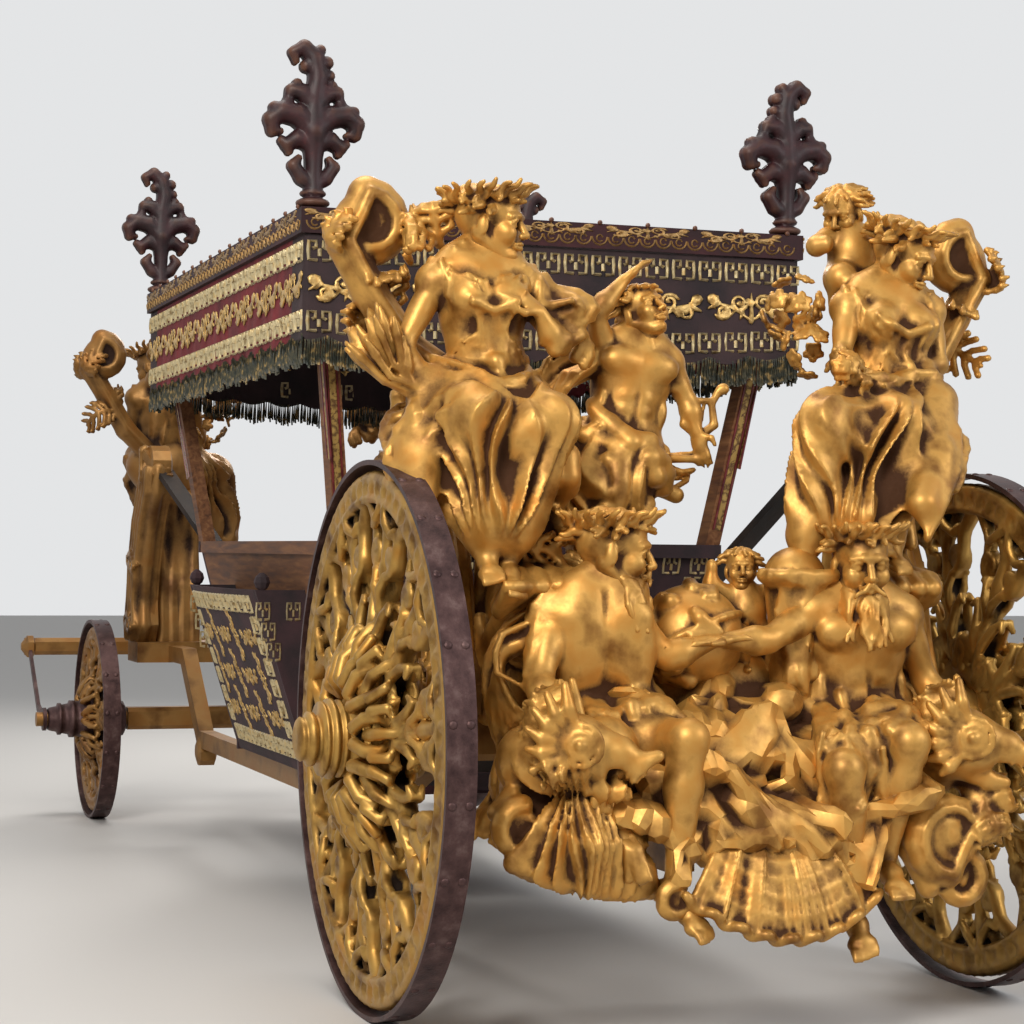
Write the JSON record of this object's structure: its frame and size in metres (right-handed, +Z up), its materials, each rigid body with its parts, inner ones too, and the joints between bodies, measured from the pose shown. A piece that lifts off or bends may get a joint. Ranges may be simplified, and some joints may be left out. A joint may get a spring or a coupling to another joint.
{
  "type": "four-wheeled ceremonial state coach",
  "caption": "open-sided baroque state coach: boat-shaped tub with canopy, slung on leather straps between carved gilded ends, on spoked wheels with a turning fore-carriage",
  "frame": {"origin": "on the floor, at the middle of the coach's length and width", "axes": "+X forward, +Y to the coach's left, +Z up"},
  "size_m": [7.2968, 2.756, 3.3511],
  "materials": {
    "gilt_wood": "water-gilt carved wood, worn in the high places",
    "dark_wood": "dark maroon painted and carved wood",
    "panel": "brown varnished panelling",
    "velvet_black": "black velvet with gold embroidery",
    "velvet_crimson": "crimson velvet with gold embroidery",
    "strap_leather": "thick black harness leather",
    "iron": "forged iron, purple-brown"
  },
  "bodies": {
    "coach": {"corner_posts": "panel", "cornice": "dark_wood", "dolphins": "gilt_wood", "finials": "dark_wood", "front_bench": "panel", "front_brackets": "gilt_wood", "front_consoles": "gilt_wood", "front_cushion": "velvet_crimson", "front_figures": "gilt_wood", "front_standards": "gilt_wood", "front_straps": "strap_leather", "front_transom": "gilt_wood", "front_valance": "velvet_black", "front_wall": "velvet_black", "globe": "gilt_wood", "left_boot": "velvet_black", "left_valance": "velvet_crimson", "left_wall": "panel", "perches": "gilt_wood", "rear_axle": "gilt_wood", "rear_bearers": "gilt_wood", "rear_bench": "panel", "rear_bolster": "gilt_wood", "rear_consoles": "gilt_wood", "rear_cushion": "velvet_crimson", "rear_standards": "gilt_wood", "rear_straps": "strap_leather", "rear_valance": "velvet_black", "rear_wall": "velvet_black", "right_boot": "velvet_black", "right_valance": "velvet_crimson", "right_wall": "panel", "rocks": "gilt_wood", "roof": "dark_wood", "sea_figure_left": "gilt_wood", "sea_figure_right": "gilt_wood", "shell_footboard": "gilt_wood", "standing_figure": "gilt_wood", "tub_floor": "dark_wood", "upper_figure_left": "gilt_wood", "upper_figure_right": "gilt_wood"},
    "rear_left_wheel": {"rear_left_hub": "gilt_wood", "rear_left_rim": "gilt_wood", "rear_left_tyre": "iron"},
    "rear_right_wheel": {"rear_right_hub": "gilt_wood", "rear_right_rim": "gilt_wood", "rear_right_tyre": "iron"},
    "front_left_wheel": {"front_left_hub": "gilt_wood", "front_left_rim": "gilt_wood", "front_left_tyre": "iron"},
    "front_right_wheel": {"front_right_hub": "gilt_wood", "front_right_rim": "gilt_wood", "front_right_tyre": "iron"},
    "forecarriage": {"front_axle": "gilt_wood", "futchells": "gilt_wood", "splinter_bar": "gilt_wood", "splinter_stays": "iron", "turntable_plate": "iron"},
    "left_door": {"left_door": "velvet_black"},
    "right_door": {"right_door": "velvet_black"}
  },
  "joints": [
    {"name": "rear_left_spin", "type": "hinge", "parent": "coach", "child": "rear_left_wheel", "pos_m": [-2.75, 1.05, 0.875], "axis": [0, 1, 0], "continuous": true},
    {"name": "rear_right_spin", "type": "hinge", "parent": "coach", "child": "rear_right_wheel", "pos_m": [-2.75, -1.05, 0.875], "axis": [0, 1, 0], "continuous": true},
    {"name": "steering", "type": "hinge", "parent": "coach", "child": "forecarriage", "pos_m": [2.85, 0, 0.8], "axis": [0, 0, 1], "range_deg": [-22, 22]},
    {"name": "front_left_spin", "type": "hinge", "parent": "forecarriage", "child": "front_left_wheel", "pos_m": [2.85, 1.05, 0.535], "axis": [0, 1, 0], "continuous": true},
    {"name": "front_right_spin", "type": "hinge", "parent": "forecarriage", "child": "front_right_wheel", "pos_m": [2.85, -1.05, 0.535], "axis": [0, 1, 0], "continuous": true},
    {"name": "left_door_hinge", "type": "hinge", "parent": "coach", "child": "left_door", "pos_m": [0.05, 0.719, 0.562], "axis": [-1, 0, 0], "range_deg": [0, 70]},
    {"name": "right_door_hinge", "type": "hinge", "parent": "coach", "child": "right_door", "pos_m": [0.05, -0.719, 0.562], "axis": [1, 0, 0], "range_deg": [0, 70]}
  ]
}
